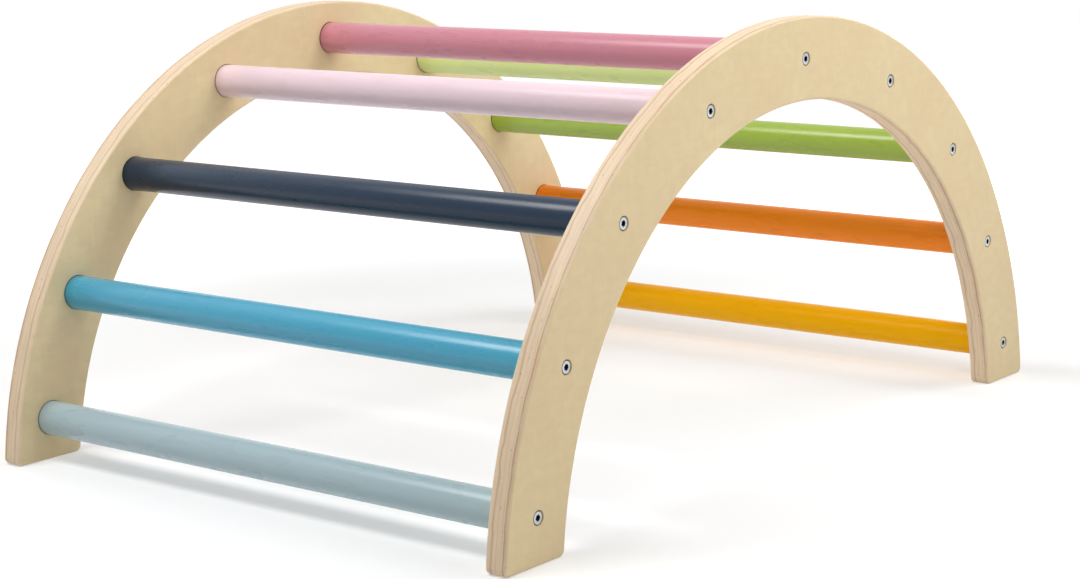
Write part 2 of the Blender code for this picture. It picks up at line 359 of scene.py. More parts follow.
class StageSettings(bpy.types.PropertyGroup):
    """Floor, light and camera."""

    floor_size: length_setting("Floor size", "Side of the square floor", FLOOR_SIZE)
    floor: colour_setting("Floor", "Matt paper that the arch stands on", "#D6D6D6")
    room_level: FloatProperty(
        name="Room light", description="Strength of the even light from all round",
        default=ROOM_LEVEL, min=0.0,
    )
    key: power_setting("Key light", "Power of the soft light above the left side", 13.5)
    key_far: power_setting("Key light, far part", "Power of the key light's far part", 14.0)
    front_high: power_setting("High front light", "Power of the light above the front", 12.2)
    front_low: power_setting("Low front light", "Power of the lower light in front", 6.5)
    left: power_setting("Left light", "Power of the light beside the camera", 1.4)
    right: power_setting("Right light", "Power of the low light at the right end", 6.5)
    back: power_setting("Back light", "Power of the low light behind the arch", 6.6)


class ClimbingArchSettings(bpy.types.PropertyGroup):
    """Everything that a user of the climbing arch can change."""

    panels: PointerProperty(type=ArchPanelSettings)
    rungs: PointerProperty(type=RungSettings)
    hardware: PointerProperty(type=HardwareSettings)
    stage: PointerProperty(type=StageSettings)


def add_node(tree, kind, inputs=None, **settings):
    """Adds a node. An input, by name or number, takes another node's output or a constant."""
    node = tree.nodes.new(kind)
    for name, value in settings.items():
        setattr(node, name, value)
    for key, value in (inputs or {}).items():
        if isinstance(value, bpy.types.NodeSocket):
            tree.links.new(value, node.inputs[key])
        else:
            node.inputs[key].default_value = value
    return node


def new_material(name):
    """An empty node material and its Principled shader."""
    material = bpy.data.materials.new(name)
    material.use_nodes = True
    tree = material.node_tree
    return material, tree, tree.nodes["Principled BSDF"]


def birch_plywood(panels):
    """Birch plywood, sanded and lacquered to a dull sheen.

    The faces are pale rotary-cut veneer, with warm patches, soft mottles, a curly figure across
    them and faint grain up the panel. The sawn edge is a little pinker and shinier, with dark glue
    lines that wander near its sides, short streaks and a few brown flecks. The pattern follows the
    depth in the panel and the way round the arch, so the sockets cut through the same veneers.
    """
    material, tree, shader = new_material("birch_plywood")
    place = add_node(tree, "ShaderNodeTexCoord").outputs["Object"]
    axes = add_node(tree, "ShaderNodeSeparateXYZ", {0: place}).outputs
    from_middle = add_node(tree, "ShaderNodeMath", {0: axes["Y"]}, operation="ABSOLUTE").outputs[0]
    depth = add_node(
        tree, "ShaderNodeMath",
        {0: from_middle, 1: -MILLIMETRES, 2: HALF_WIDTH * MILLIMETRES}, operation="MULTIPLY_ADD",
    ).outputs[0]
    side = add_node(tree, "ShaderNodeMath", {0: axes["Y"]}, operation="SIGN").outputs[0]
    side_shift = add_node(
        tree, "ShaderNodeMath", {0: side, 1: PANEL_PATTERN_SHIFT_MM}, operation="MULTIPLY"
    ).outputs[0]
    above_centre = add_node(
        tree, "ShaderNodeMath", {0: axes["Z"], 1: ARC_CENTRE_DROP}, operation="ADD"
    ).outputs[0]
    bearing = add_node(
        tree, "ShaderNodeMath", {0: axes["X"], 1: above_centre}, operation="ARCTAN2"
    ).outputs[0]
    around = add_node(
        tree, "ShaderNodeMath", {0: bearing, 1: OUTER_RADIUS * MILLIMETRES}, operation="MULTIPLY"
    ).outputs[0]
    flat_place = add_node(tree, "ShaderNodeCombineXYZ", {0: axes["X"], 2: above_centre}).outputs[0]
    radius = add_node(
        tree, "ShaderNodeVectorMath", {0: flat_place}, operation="LENGTH"
    ).outputs["Value"]
    radius_mm = add_node(
        tree, "ShaderNodeMath", {0: radius, 1: MILLIMETRES, 2: side_shift}, operation="MULTIPLY_ADD"
    ).outputs[0]
    coordinates = {
        "edge": add_node(
            tree, "ShaderNodeCombineXYZ", {0: around, 1: depth, 2: radius_mm}
        ).outputs[0],
        "face": add_node(
            tree, "ShaderNodeVectorMath", {0: place, 3: MILLIMETRES}, operation="SCALE"
        ).outputs[0],
    }
    noises = {}
    for name, read, sizes, detail in PLYWOOD_NOISES:
        grains = add_node(
            tree, "ShaderNodeVectorMath", {0: coordinates[read], 1: sizes}, operation="DIVIDE"
        ).outputs[0]
        noises[name] = add_node(
            tree, "ShaderNodeTexNoise", {"Vector": grains, "Scale": 1.0, "Detail": detail}
        ).outputs["Fac"]

    # Each glue line is darkest in its middle, and the wood's own streaks break it up
    lines = 0.0
    for middle, half_thickness, strength, wander in GLUE_LINES_MM:
        line_depth = add_node(
            tree, "ShaderNodeMath", {0: noises["wander"], 1: wander, 2: depth},
            operation="MULTIPLY_ADD",
        ).outputs[0]
        away = add_node(
            tree, "ShaderNodeMath", {0: line_depth, 1: middle + wander / 2}, operation="SUBTRACT"
        ).outputs[0]
        gap = add_node(tree, "ShaderNodeMath", {0: away}, operation="ABSOLUTE").outputs[0]
        line = add_node(
            tree, "ShaderNodeMapRange", {0: gap, 1: 0.0, 2: half_thickness, 3: strength, 4: 0.0},
            interpolation_type="SMOOTHSTEP",
        ).outputs[0]
        lines = add_node(
            tree, "ShaderNodeMath", {0: lines, 1: line}, operation="MAXIMUM"
        ).outputs[0]
    unbroken = add_node(
        tree, "ShaderNodeMapRange",
        {0: noises["breaks"], 1: BREAKS_RANGE[0], 2: BREAKS_RANGE[1], 3: BROKEN_LINE_SHARE, 4: 1.0},
    ).outputs[0]
    noises["glue_lines"] = add_node(
        tree, "ShaderNodeMath", {0: lines, 1: unbroken}, operation="MULTIPLY"
    ).outputs[0]

    colours = {}
    for part, layers in PLYWOOD_LAYERS.items():
        colour = list(getattr(panels, part))
        for name, (low, high), strength, setting, share in layers:
            amount = add_node(
                tree, "ShaderNodeMapRange", {0: noises[name], 1: low, 2: high, 3: 0.0, 4: strength}
            ).outputs[0]
            tint = darker(getattr(panels, setting), share)
            colour = add_node(
                tree, "ShaderNodeMix", {0: amount, 6: colour, 7: tint}, data_type="RGBA"
            ).outputs[2]
        colours[part] = colour

    # Face or edge, by the depth from the nearer face
    from_inner = add_node(
        tree, "ShaderNodeMath", {0: PANEL_THICKNESS * MILLIMETRES, 1: depth}, operation="SUBTRACT"
    ).outputs[0]
    from_face = add_node(
        tree, "ShaderNodeMath", {0: depth, 1: from_inner}, operation="MINIMUM"
    ).outputs[0]
    edge_share = add_node(
        tree, "ShaderNodeMapRange", {0: from_face, 1: FACE_VENEER_MM[0], 2: FACE_VENEER_MM[1]},
        interpolation_type="SMOOTHSTEP",
    ).outputs[0]
    colour = add_node(
        tree, "ShaderNodeMix", {0: edge_share, 6: colours["face"], 7: colours["edge"]},
        data_type="RGBA",
    ).outputs[2]
    tree.links.new(colour, shader.inputs["Base Color"])
    roughness = add_node(
        tree, "ShaderNodeMix", {0: edge_share, 2: FACE_ROUGHNESS, 3: EDGE_ROUGHNESS},
        data_type="FLOAT",
    ).outputs[0]
    worn = add_node(
        tree, "ShaderNodeMath", {0: noises["curl"], 1: CURL_ROUGHNESS, 2: roughness},
        operation="MULTIPLY_ADD",
    ).outputs[0]
    tree.links.new(worn, shader.inputs["Roughness"])
    relief = add_node(
        tree, "ShaderNodeMix", {0: edge_share, 2: noises["grain"], 3: noises["streaks"]},
        data_type="FLOAT",
    ).outputs[0]
    bump = add_node(
        tree, "ShaderNodeBump",
        {"Height": relief, "Strength": WOOD_BUMP_STRENGTH, "Distance": WOOD_BUMP_HEIGHT},
    ).outputs[0]
    tree.links.new(bump, shader.inputs["Normal"])
    return material


def enamel_paint(name, colour, gloss, number):
    """Enamel paint, sprayed on a turned hardwood bar.

    It is a satin gloss: one soft highlight runs along the bar. The wood's grain is raised a little
    under the paint, a few dust specks show pale in it, and a band of painted shade darkens the bar
    where it meets each panel.
    """
    material, tree, shader = new_material(name)
    place = add_node(tree, "ShaderNodeTexCoord").outputs["Object"]
    x, z = rung_place(number)
    centred = add_node(
        tree, "ShaderNodeMapping",
        {"Vector": place, "Location": (-x, number * RUNG_PATTERN_STEP, -z)},
    ).outputs[0]
    millimetres = add_node(
        tree, "ShaderNodeVectorMath", {0: centred, 3: MILLIMETRES}, operation="SCALE"
    ).outputs[0]
    noises = {}
    for noise, sizes, detail in PAINT_NOISES:
        grains = add_node(
            tree, "ShaderNodeVectorMath", {0: millimetres, 1: sizes}, operation="DIVIDE"
        ).outputs[0]
        noises[noise] = add_node(
            tree, "ShaderNodeTexNoise", {"Vector": grains, "Scale": 1.0, "Detail": detail}
        ).outputs["Fac"]
    from_speck = add_node(
        tree, "ShaderNodeTexVoronoi", {"Vector": millimetres, "Scale": 1 / SPECK_SPACING_MM}
    ).outputs["Distance"]
    core, rim = SPECK_RADIUS_SHARES
    specks = add_node(
        tree, "ShaderNodeMapRange", {0: from_speck, 1: core, 2: rim, 3: SPECK_STRENGTH, 4: 0.0}
    ).outputs[0]

    clouds = add_node(
        tree, "ShaderNodeMapRange", {0: noises["waves"], 1: NOISE_LOW, 2: NOISE_HIGH}
    ).outputs[0]
    base = add_node(
        tree, "ShaderNodeMix", {0: clouds, 6: darker(colour, CLOUD_SHARE), 7: colour},
        data_type="RGBA",
    ).outputs[2]
    base = add_node(
        tree, "ShaderNodeMix", {0: specks, 6: base, 7: WHITE}, data_type="RGBA"
    ).outputs[2]
    along = add_node(tree, "ShaderNodeSeparateXYZ", {0: place}).outputs["Y"]
    from_middle = add_node(tree, "ShaderNodeMath", {0: along}, operation="ABSOLUTE").outputs[0]
    panel_face = HALF_WIDTH - PANEL_THICKNESS
    contact_shade_start = panel_face - PAINTED_CONTACT_SHADE_WIDTH
    contact_shade_full = panel_face - PAINTED_CONTACT_SHADE_WIDTH / 2
    # Painted shade: the paint darkens in a thin band where the rung goes into the panel, in place
    # of a contact shadow
    contact_shade = add_node(
        tree, "ShaderNodeMapRange",
        {0: from_middle, 1: contact_shade_start, 2: contact_shade_full, 3: 0.0, 4: CONTACT_SHADE_STRENGTH},
    ).outputs[0]
    base = add_node(
        tree, "ShaderNodeMix", {0: contact_shade, 6: base, 7: darker(colour, CONTACT_SHADE_SHARE)},
        data_type="RGBA",
    ).outputs[2]
    tree.links.new(base, shader.inputs["Base Color"])
    smooth, rough = PAINT_ROUGHNESS
    roughness = add_node(
        tree, "ShaderNodeMapRange",
        {0: noises["waves"], 1: NOISE_LOW, 2: NOISE_HIGH, 3: smooth, 4: rough},
    ).outputs[0]
    tree.links.new(roughness, shader.inputs["Roughness"])
    shader.inputs["Specular IOR Level"].default_value = gloss
    surface = None
    for noise, strength, height in PAINT_BUMPS:
        bump = add_node(
            tree, "ShaderNodeBump",
            {"Height": noises[noise], "Strength": strength, "Distance": height},
        )
        if surface:
            tree.links.new(surface, bump.inputs["Normal"])
        surface = bump.outputs[0]
    tree.links.new(surface, shader.inputs["Normal"])
    return material


def plated_metal(name, colour, middle_roughness):
    """Zinc-plated steel or zinc alloy: a grey metal, slightly clouded by its passivated skin."""
    material, tree, shader = new_material(name)
    place = add_node(tree, "ShaderNodeTexCoord").outputs["Object"]
    clouds = add_node(
        tree, "ShaderNodeTexNoise",
        {"Vector": place, "Scale": MILLIMETRES / PLATING_CLOUD_MM, "Detail": PLATING_DETAIL},
    ).outputs["Fac"]
    roughness = add_node(
        tree, "ShaderNodeMapRange",
        {
            0: clouds, 1: NOISE_LOW, 2: NOISE_HIGH,
            3: middle_roughness - PLATING_SHINIER, 4: middle_roughness + PLATING_DULLER,
        },
    ).outputs[0]
    tint = add_node(
        tree, "ShaderNodeMix", {0: clouds, 6: darker(colour, PLATING_DARK_SHARE), 7: colour},
        data_type="RGBA",
    ).outputs[2]
    tree.links.new(tint, shader.inputs["Base Color"])
    tree.links.new(roughness, shader.inputs["Roughness"])
    shader.inputs["Metallic"].default_value = 1.0
    return material


def verts_of(geometry):
    """The vertices among what an operator returns."""
    return [item for item in geometry if isinstance(item, bmesh.types.BMVert)]


def edges_of(geometry):
    """The edges among what an operator returns."""
    return [item for item in geometry if isinstance(item, bmesh.types.BMEdge)]


def turned(profile, steps):
    """A solid of revolution about Z. The profile's (radius, z) points start and end on the axis."""
    bm = bmesh.new()
    verts = [bm.verts.new((radius, 0, z)) for radius, z in profile]
    edges = [bm.edges.new(pair) for pair in zip(verts, verts[1:])]
    bmesh.ops.spin(
        bm, geom=verts + edges, axis=(0, 0, 1), angle=math.tau, steps=steps, use_merge=True
    )
    bmesh.ops.remove_doubles(bm, verts=bm.verts, dist=WELD_DISTANCE)
    return bm


def add_piece(bm, name):
    """A closed mesh with its faces pointing out, on an object at the origin."""
    bmesh.ops.recalc_face_normals(bm, faces=bm.faces)
    mesh = bpy.data.meshes.new(name)
    bm.to_mesh(mesh)
    bm.free()
    piece = bpy.data.objects.new(name, mesh)
    bpy.context.scene.collection.objects.link(piece)
    return piece


def finish_piece(piece, node, slot, *materials):
    """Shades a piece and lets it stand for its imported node."""
    for material in materials:
        piece.data.materials.append(material)
    piece.data.shade_smooth()
    piece.data.set_sharp_from_angle(angle=SHARP_ANGLE)
    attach(piece, "root")
    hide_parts(node)


def outer_face_frame(side, x, z):
    """Turns a shape along Z, its depth upwards, into a panel from the outer face inwards."""
    inwards = INWARDS[side]
    face = Vector((x, -inwards * HALF_WIDTH, z))
    depth_way = Matrix.Rotation(-inwards * math.pi / 2, 4, "X")
    return Matrix.Translation(face) @ depth_way


def rung_place(number):
    """The (x, z) of a rung's axis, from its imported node."""
    low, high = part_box(RUNGS[number - 1][0])
    middle = (low + high) / 2
    return middle.x, middle.z


def panel_blank(panels):
    """The arch panel before drilling, its outer face at y = 0 and its thickness towards +Y.

    One point is spun round the outline: over the crown, round a heel, along the floor, round a
    toe and back under the arch. The outline is then thickened and its long edges eased.
    """
    corner = panels.corner
    inner_radius = panels.outer_radius - panels.band_width
    height = corner + ARC_CENTRE_DROP
    heel_reach = math.sqrt((panels.outer_radius - corner) ** 2 - height**2)
    toe_reach = math.sqrt((inner_radius + corner) ** 2 - height**2)
    heel_bearing = math.atan2(heel_reach, height)
    toe_bearing = math.atan2(toe_reach, height)
    right_heel = Vector((heel_reach, 0, corner))
    left_heel = Vector((-heel_reach, 0, corner))
    right_toe = Vector((toe_reach, 0, corner))
    left_toe = Vector((-toe_reach, 0, corner))
    start_way = Vector((-math.sin(heel_bearing), 0, math.cos(heel_bearing)))
    turns = (
        (ARC_CENTRE, 2 * heel_bearing, ARC_STEPS),
        (right_heel, math.pi - heel_bearing, CORNER_STEPS),
        (right_toe, toe_bearing, CORNER_STEPS),
        (ARC_CENTRE, -2 * toe_bearing, ARC_STEPS),
        (left_toe, toe_bearing, CORNER_STEPS),
        (left_heel, math.pi - heel_bearing, CORNER_STEPS),
    )
    bm = bmesh.new()
    start = ARC_CENTRE + panels.outer_radius * start_way
    last = bmesh.ops.create_vert(bm, co=start)["vert"][0]
    for centre, angle, steps in turns:
        if centre in (right_toe, left_heel):
            sole = bmesh.ops.extrude_vert_indiv(bm, verts=[last])
            last = sole["verts"][0]
            bmesh.ops.translate(bm, verts=[last], vec=(centre.x - last.co.x, 0, 0))
        spun = bmesh.ops.spin(
            bm, geom=[last], cent=centre, axis=(0, 1, 0), angle=angle, steps=steps
        )
        last = verts_of(spun["geom_last"])[0]
    bmesh.ops.remove_doubles(bm, verts=bm.verts, dist=WELD_DISTANCE)
    face = bmesh.ops.contextual_create(bm, geom=bm.edges[:])["faces"][0]
    grown = bmesh.ops.extrude_face_region(bm, geom=[face])["geom"]
    bmesh.ops.translate(bm, verts=verts_of(grown), vec=(0, PANEL_THICKNESS, 0))
    bmesh.ops.recalc_face_normals(bm, faces=bm.faces)
    bm.normal_update()
    long_edges = [edge for edge in bm.edges if edge.calc_face_angle(0) > EASED_EDGE_ANGLE]
    bmesh.ops.bevel(
        bm, geom=long_edges, offset=panels.edge_ease, offset_type="OFFSET", segments=EASE_STEPS,
        profile=0.5, affect="EDGES", clamp_overlap=False, material=-1,
    )
    return bm


def socket_cutter(hardware):
    """What is drilled for one rung: the bolt's countersink and hole, then the rung's socket."""
    slope = math.tan(COUNTERSINK_HALF_ANGLE)
    rim_radius = BOLT_HEAD_DIAMETER / 2 + FIT_GAP / math.cos(COUNTERSINK_HALF_ANGLE)
    rim_depth = BOLT_HEAD_RECESS + BOLT_HEAD_RIM
    hole_radius = hardware.bolt_diameter / 2 + FIT_GAP
    cone_depth = rim_depth + (rim_radius - hole_radius) / slope
    socket_radius = RUNG_DIAMETER / 2 + FIT_GAP
    profile = (
        (0, -CUT_OVERRUN),
        (rim_radius + HOLE_EDGE_BREAK + CUT_OVERRUN, -CUT_OVERRUN),
        (rim_radius, HOLE_EDGE_BREAK),
        (rim_radius, rim_depth),
        (hole_radius, cone_depth),
        (hole_radius, SOCKET_FLOOR_DEPTH),
        (socket_radius, SOCKET_FLOOR_DEPTH),
        (socket_radius, PANEL_THICKNESS - HOLE_EDGE_BREAK),
        (socket_radius + HOLE_EDGE_BREAK + CUT_OVERRUN, PANEL_THICKNESS + CUT_OVERRUN),
        (0, PANEL_THICKNESS + CUT_OVERRUN),
    )
    return turned(profile, HOLE_STEPS)


def drill(panel, cutters):
    """Cuts the sockets out of a panel and keeps the result as its mesh."""
    cut = panel.modifiers.new("sockets", "BOOLEAN")
    cut.operation = "DIFFERENCE"
    cut.solver = "EXACT"
    cut.object = cutters
    depsgraph = bpy.context.evaluated_depsgraph_get()
    drilled = bpy.data.meshes.new_from_object(panel.evaluated_get(depsgraph))
    panel.modifiers.clear()
    panel.data = drilled
    bpy.data.objects.remove(cutters)


class CLIMBING_ARCH_OT_panels(bpy.types.Operator):
    """Make the two plywood panels with their eased edges, sockets and countersunk holes"""

    bl_idname = "climbing_arch.make_panels"
    bl_label = "Make Panels"

    def execute(self, context):
        settings = context.scene.climbing_arch
        plywood = birch_plywood(settings.panels)
        for side, inwards in INWARDS.items():
            bm = panel_blank(settings.panels)
            if inwards < 0:
                bmesh.ops.scale(bm, verts=bm.verts, vec=(1, -1, 1))
            bmesh.ops.translate(bm, verts=bm.verts, vec=(0, -inwards * HALF_WIDTH, 0))
            panel = add_piece(bm, side + "_plywood_panel")
            all_cutters = bmesh.new()
            for number in range(1, RUNG_COUNT + 1):
                cutter = socket_cutter(settings.hardware)
                cutter.transform(outer_face_frame(side, *rung_place(number)))
                cutter_mesh = bpy.data.meshes.new("one_cutter")
                cutter.to_mesh(cutter_mesh)
                cutter.free()
                all_cutters.from_mesh(cutter_mesh)
                bpy.data.meshes.remove(cutter_mesh)
            drill(panel, add_piece(all_cutters, side + "_cutters"))
            finish_piece(panel, side + "_arch_panel", "plywood", plywood)
            even = panel.modifiers.new("even_shading", "WEIGHTED_NORMAL")
            even.keep_sharp = True
        return {"FINISHED"}


def rung_bar(rungs):
    """A turned bar along Z with rounded ends, and a blind bore in each end for its insert."""
    half = RUNG_LENGTH / 2
    bore_radius = INSERT_DIAMETER / 2 + FIT_GAP
    bolt_tip_depth = BOLT_HEAD_RECESS + BOLT_LENGTH
    deepest = max(INSERT_DEPTH + INSERT_LENGTH, bolt_tip_depth)
    bore_floor = HALF_WIDTH - deepest - RUNG_BORE_SPARE
    upper_half = (
        (RUNG_DIAMETER / 2, half),
        (bore_radius, half),
        (bore_radius, bore_floor),
        (0, bore_floor),
    )
    lower_half = [(radius, -z) for radius, z in reversed(upper_half)]
    bm = turned(lower_half + list(upper_half), RUNG_STEPS)
    end_edges = [
        edge for edge in bm.edges
        if all(abs(vert.co.xy.length - RUNG_DIAMETER / 2) < WELD_DISTANCE for vert in edge.verts)
        and abs(edge.verts[0].co.z - edge.verts[1].co.z) < WELD_DISTANCE
    ]
    bmesh.ops.bevel(
        bm, geom=end_edges, offset=rungs.end_round, offset_type="OFFSET",
        segments=RUNG_END_STEPS, profile=0.5, affect="EDGES", clamp_overlap=True, material=-1,
    )
    return bm


class CLIMBING_ARCH_OT_rungs(bpy.types.Operator):
    """Make the nine painted rungs"""

    bl_idname = "climbing_arch.make_rungs"
    bl_label = "Make Rungs"

    def execute(self, context):
        rungs = context.scene.climbing_arch.rungs
        for number, (node, slot, _, gloss) in enumerate(RUNGS, 1):
            x, z = rung_place(number)
            axis_place = Vector((x, 0, z))
            bm = rung_bar(rungs)
            along_y = Matrix.Rotation(math.pi / 2, 4, "X")
            bm.transform(Matrix.Translation(axis_place) @ along_y)
            piece = add_piece(bm, f"painted_rung_{number}")
            colour = list(getattr(rungs, slot.removesuffix("_paint")))
            paint = enamel_paint("enamel_" + slot, colour, gloss, number)
            finish_piece(piece, node, slot, paint)
        return {"FINISHED"}


def grow(bm, ring, depth, share=1.0):
    """Extrudes a ring of edges to a depth along Z and scales it about the axis."""
    grown = bmesh.ops.extrude_edge_only(bm, edges=ring)["geom"]
    verts = verts_of(grown)
    new_verts = set(verts)
    for vert in verts:
        vert.co = Vector((vert.co.x * share, vert.co.y * share, depth))
    return [edge for edge in edges_of(grown) if new_verts.issuperset(edge.verts)]


def threaded(bm, ring, radius, start, end, pitch, thread_depth, lead_out):
    """Grows a ring along Z as a screw thread that starts and ends at its root."""
    rings = round((end - start) / pitch * THREAD_RINGS_PER_TURN)
    root_share = (radius - thread_depth) / radius
    for number in range(1, rings + 1):
        depth = start + (end - start) * number / rings
        ring = grow(bm, ring, depth)
        fade = min(1.0, (depth - start) / lead_out, (end - depth) / lead_out)
        for vert in {vert for edge in ring for vert in edge.verts}:
            turn = math.atan2(vert.co.y, vert.co.x) / math.tau
            phase = (depth / pitch - turn) % 1.0
            crest = (1.0 - abs(2.0 * phase - 1.0)) * fade
            share = root_share + (1.0 - root_share) * crest
            vert.co.xy = vert.co.xy.normalized() * radius * share
    return ring


def close_ring(bm, ring, depth):
    """Closes a ring with a point on the axis."""
    tip = grow(bm, ring, depth, 0.0)
    bmesh.ops.pointmerge(
        bm, verts=list({vert for edge in tip for vert in edge.verts}), merge_co=(0, 0, depth)
    )


def countersunk_bolt(hardware):
    """A countersunk bolt along Z, its head's top at z = 0, with a hex socket in the head."""
    head_radius = BOLT_HEAD_DIAMETER / 2
    shank_radius = hardware.bolt_diameter / 2
    hex_corner = hardware.hex_size / 2 / math.cos(math.pi / HEX_SIDES)
    cone_end = BOLT_HEAD_RIM + (head_radius - shank_radius) / math.tan(COUNTERSINK_HALF_ANGLE)
    bm = bmesh.new()
    rim = bmesh.ops.create_circle(bm, segments=BOLT_STEPS, radius=head_radius - BOLT_HEAD_BEVEL)
    rim_ring = list({edge for vert in rim["verts"] for edge in vert.link_edges})
    mouth_radius = hex_corner + HEX_MOUTH_BEVEL
    key = bmesh.ops.create_circle(bm, segments=HEX_SIDES, radius=mouth_radius)
    key_ring = list({edge for vert in key["verts"] for edge in vert.link_edges})
    cut = bmesh.ops.subdivide_edges(bm, edges=key_ring, cuts=BOLT_STEPS // HEX_SIDES - 1)
    key_ring = list({edge for edge in edges_of(cut["geom"]) if not edge.link_faces})
    bmesh.ops.bridge_loops(bm, edges=rim_ring + key_ring)
    head_face = set(bm.faces)

    wall = grow(bm, key_ring, HEX_MOUTH_BEVEL, hex_corner / mouth_radius)
    rim_share = head_radius / (head_radius - BOLT_HEAD_BEVEL)
    ring = grow(bm, rim_ring, BOLT_HEAD_RIM, rim_share)
    bevels = {face for edge in ring for face in edge.link_faces}
    socket_floor = grow(bm, wall, HEX_SOCKET_DEPTH)
    close_ring(bm, socket_floor, HEX_SOCKET_DEPTH + HEX_SOCKET_POINT)
    # The flat of the head has the first material, its bevel the second and the socket the third.
    # The bevel's dark colour is painted shade, and the socket's is oil and painted shade.
    for face in set(bm.faces) - head_face:
        face.material_index = 1 if face in bevels else 2

    ring = grow(bm, ring, cone_end, shank_radius / head_radius)
    neck_end = cone_end + BOLT_NECK_PITCHES * hardware.bolt_pitch
    ring = grow(bm, ring, neck_end)
    thread_end = BOLT_LENGTH - hardware.bolt_pitch / 2
    ring = threaded(
        bm, ring, shank_radius, neck_end, thread_end, hardware.bolt_pitch,
        BOLT_THREAD_DEPTH_SHARE * hardware.bolt_pitch, hardware.bolt_pitch,
    )
    ring = grow(bm, ring, BOLT_LENGTH, BOLT_TIP_SHARE)
    close_ring(bm, ring, BOLT_LENGTH)
    return bm


def threaded_insert(hardware):
    """A threaded insert along Z: a sleeve with a coarse wood thread outside."""
    bore_radius = hardware.bolt_diameter / 2 + FIT_GAP
    outer_radius = INSERT_DIAMETER / 2
    bm = bmesh.new()
    circle = bmesh.ops.create_circle(bm, segments=BOLT_STEPS, radius=bore_radius)
    bore_ring = list({edge for vert in circle["verts"] for edge in vert.link_edges})
    ring = grow(bm, bore_ring, 0.0, outer_radius / bore_radius)
    ring = grow(bm, ring, INSERT_COLLAR)
    ring = threaded(
        bm, ring, outer_radius, INSERT_COLLAR, INSERT_LENGTH - INSERT_COLLAR,
        hardware.insert_pitch, INSERT_THREAD_DEPTH, hardware.insert_pitch / 2,
    )
    ring = grow(bm, ring, INSERT_LENGTH, INSERT_TIP_SHARE)
    far_ring = grow(bm, ring, INSERT_LENGTH)
    for vert in {vert for edge in far_ring for vert in edge.verts}:
        vert.co.xy = vert.co.xy.normalized() * bore_radius
    bmesh.ops.bridge_loops(bm, edges=bore_ring + far_ring)
    return bm


class CLIMBING_ARCH_OT_bolts(bpy.types.Operator):
    """Make the eighteen countersunk bolts"""

    bl_idname = "climbing_arch.make_bolts"
    bl_label = "Make Bolts"

    def execute(self, context):
        hardware = context.scene.climbing_arch.hardware
        plating = plated_metal("zinc_plated_steel", list(hardware.zinc), BOLT_ROUGHNESS)
        # The bevel material is painted shade round the edge of each head
        bevel = plated_metal("thinly_plated_steel", list(hardware.bevel), BEVEL_ROUGHNESS)
        # The socket material is darkened by oil and by painted shade for the recess
        socket = plated_metal("oiled_socket_steel", list(hardware.socket), SOCKET_ROUGHNESS)
        for side in INWARDS:
            for number in range(1, RUNG_COUNT + 1):
                bm = countersunk_bolt(hardware)
                bmesh.ops.rotate(
                    bm, verts=bm.verts, matrix=Matrix.Rotation(number * BOLT_TURN, 3, "Z")
                )
                bmesh.ops.translate(bm, verts=bm.verts, vec=(0, 0, BOLT_HEAD_RECESS))
                bm.transform(outer_face_frame(side, *rung_place(number)))
                piece = add_piece(bm, f"{side}_countersunk_bolt_{number}")
                finish_piece(
                    piece, f"{side}_bolt_{number}", "bolt_steel", plating, bevel, socket
                )
        return {"FINISHED"}


class CLIMBING_ARCH_OT_inserts(bpy.types.Operator):
    """Make the eighteen threaded inserts inside the rung ends"""

    bl_idname = "climbing_arch.make_inserts"
    bl_label = "Make Inserts"

    def execute(self, context):
        hardware = context.scene.climbing_arch.hardware
        alloy = plated_metal("die_cast_zinc_alloy", list(hardware.insert), INSERT_ROUGHNESS)
        for side in INWARDS:
            for number in range(1, RUNG_COUNT + 1):
                bm = threaded_insert(hardware)
                bmesh.ops.translate(bm, verts=bm.verts, vec=(0, 0, INSERT_DEPTH))
                bm.transform(outer_face_frame(side, *rung_place(number)))
                piece = add_piece(bm, f"{side}_threaded_insert_{number}")
                finish_piece(piece, f"{side}_insert_{number}", "insert_metal", alloy)
        return {"FINISHED"}


def white_where_seen(tree):
    """1 for rays from the camera and for what shows in metal or glass, otherwise 0."""
    path = add_node(tree, "ShaderNodeLightPath").outputs
    seen = add_node(
        tree, "ShaderNodeMath", {0: path["Is Camera Ray"], 1: path["Is Glossy Ray"]},
        operation="MAXIMUM",
    ).outputs[0]
    return add_node(
        tree, "ShaderNodeMath", {0: seen, 1: path["Is Transmission Ray"]}, operation="MAXIMUM"
    ).outputs[0]


def paper_floor(stage):
    """Matt paper that takes soft shadows. Its glow turns it white away from them, and only a share
    of the glow lights the arch.
    """
    material, tree, shader = new_material("matt_paper")
    shader.inputs["Base Color"].default_value = stage.floor
    shader.inputs["Roughness"].default_value = FLOOR_ROUGHNESS
    shader.inputs["Specular IOR Level"].default_value = 0.0
    place = add_node(tree, "ShaderNodeTexCoord").outputs["Object"]
    away = add_node(tree, "ShaderNodeVectorMath", {0: place}, operation="LENGTH").outputs["Value"]
    glow = add_node(
        tree, "ShaderNodeMapRange",
        {0: away, 1: GLOW_START, 2: GLOW_END, 3: NEAR_FLOOR_GLOW, 4: FAR_FLOOR_GLOW},
        interpolation_type="SMOOTHSTEP",
    ).outputs[0]
    share = add_node(
        tree, "ShaderNodeMix", {0: white_where_seen(tree), 2: FLOOR_LIGHT_SHARE, 3: 1.0},
        data_type="FLOAT",
    ).outputs[0]
    strength = add_node(
        tree, "ShaderNodeMath", {0: glow, 1: share}, operation="MULTIPLY"
    ).outputs[0]
    shader.inputs["Emission Color"].default_value = WHITE
    tree.links.new(strength, shader.inputs["Emission Strength"])
    return material


def add_area_light(name, place, power, length, width):
    """A rectangular light that points at the arch, its long side along Y."""
    light = bpy.data.lights.new(name, "AREA")
    light.shape = "RECTANGLE"
    light.size = width
    light.size_y = length
    light.energy = power
    lamp = bpy.data.objects.new(name, light)
    bpy.context.scene.collection.objects.link(lamp)
    back = (place - LIGHT_AIM).normalized()
    across = Vector((0, 1, 0)).cross(back).normalized()
    along = back.cross(across)
    turn = Matrix((across, along, back)).transposed().to_4x4()
    lamp.matrix_world = Matrix.Translation(place) @ turn


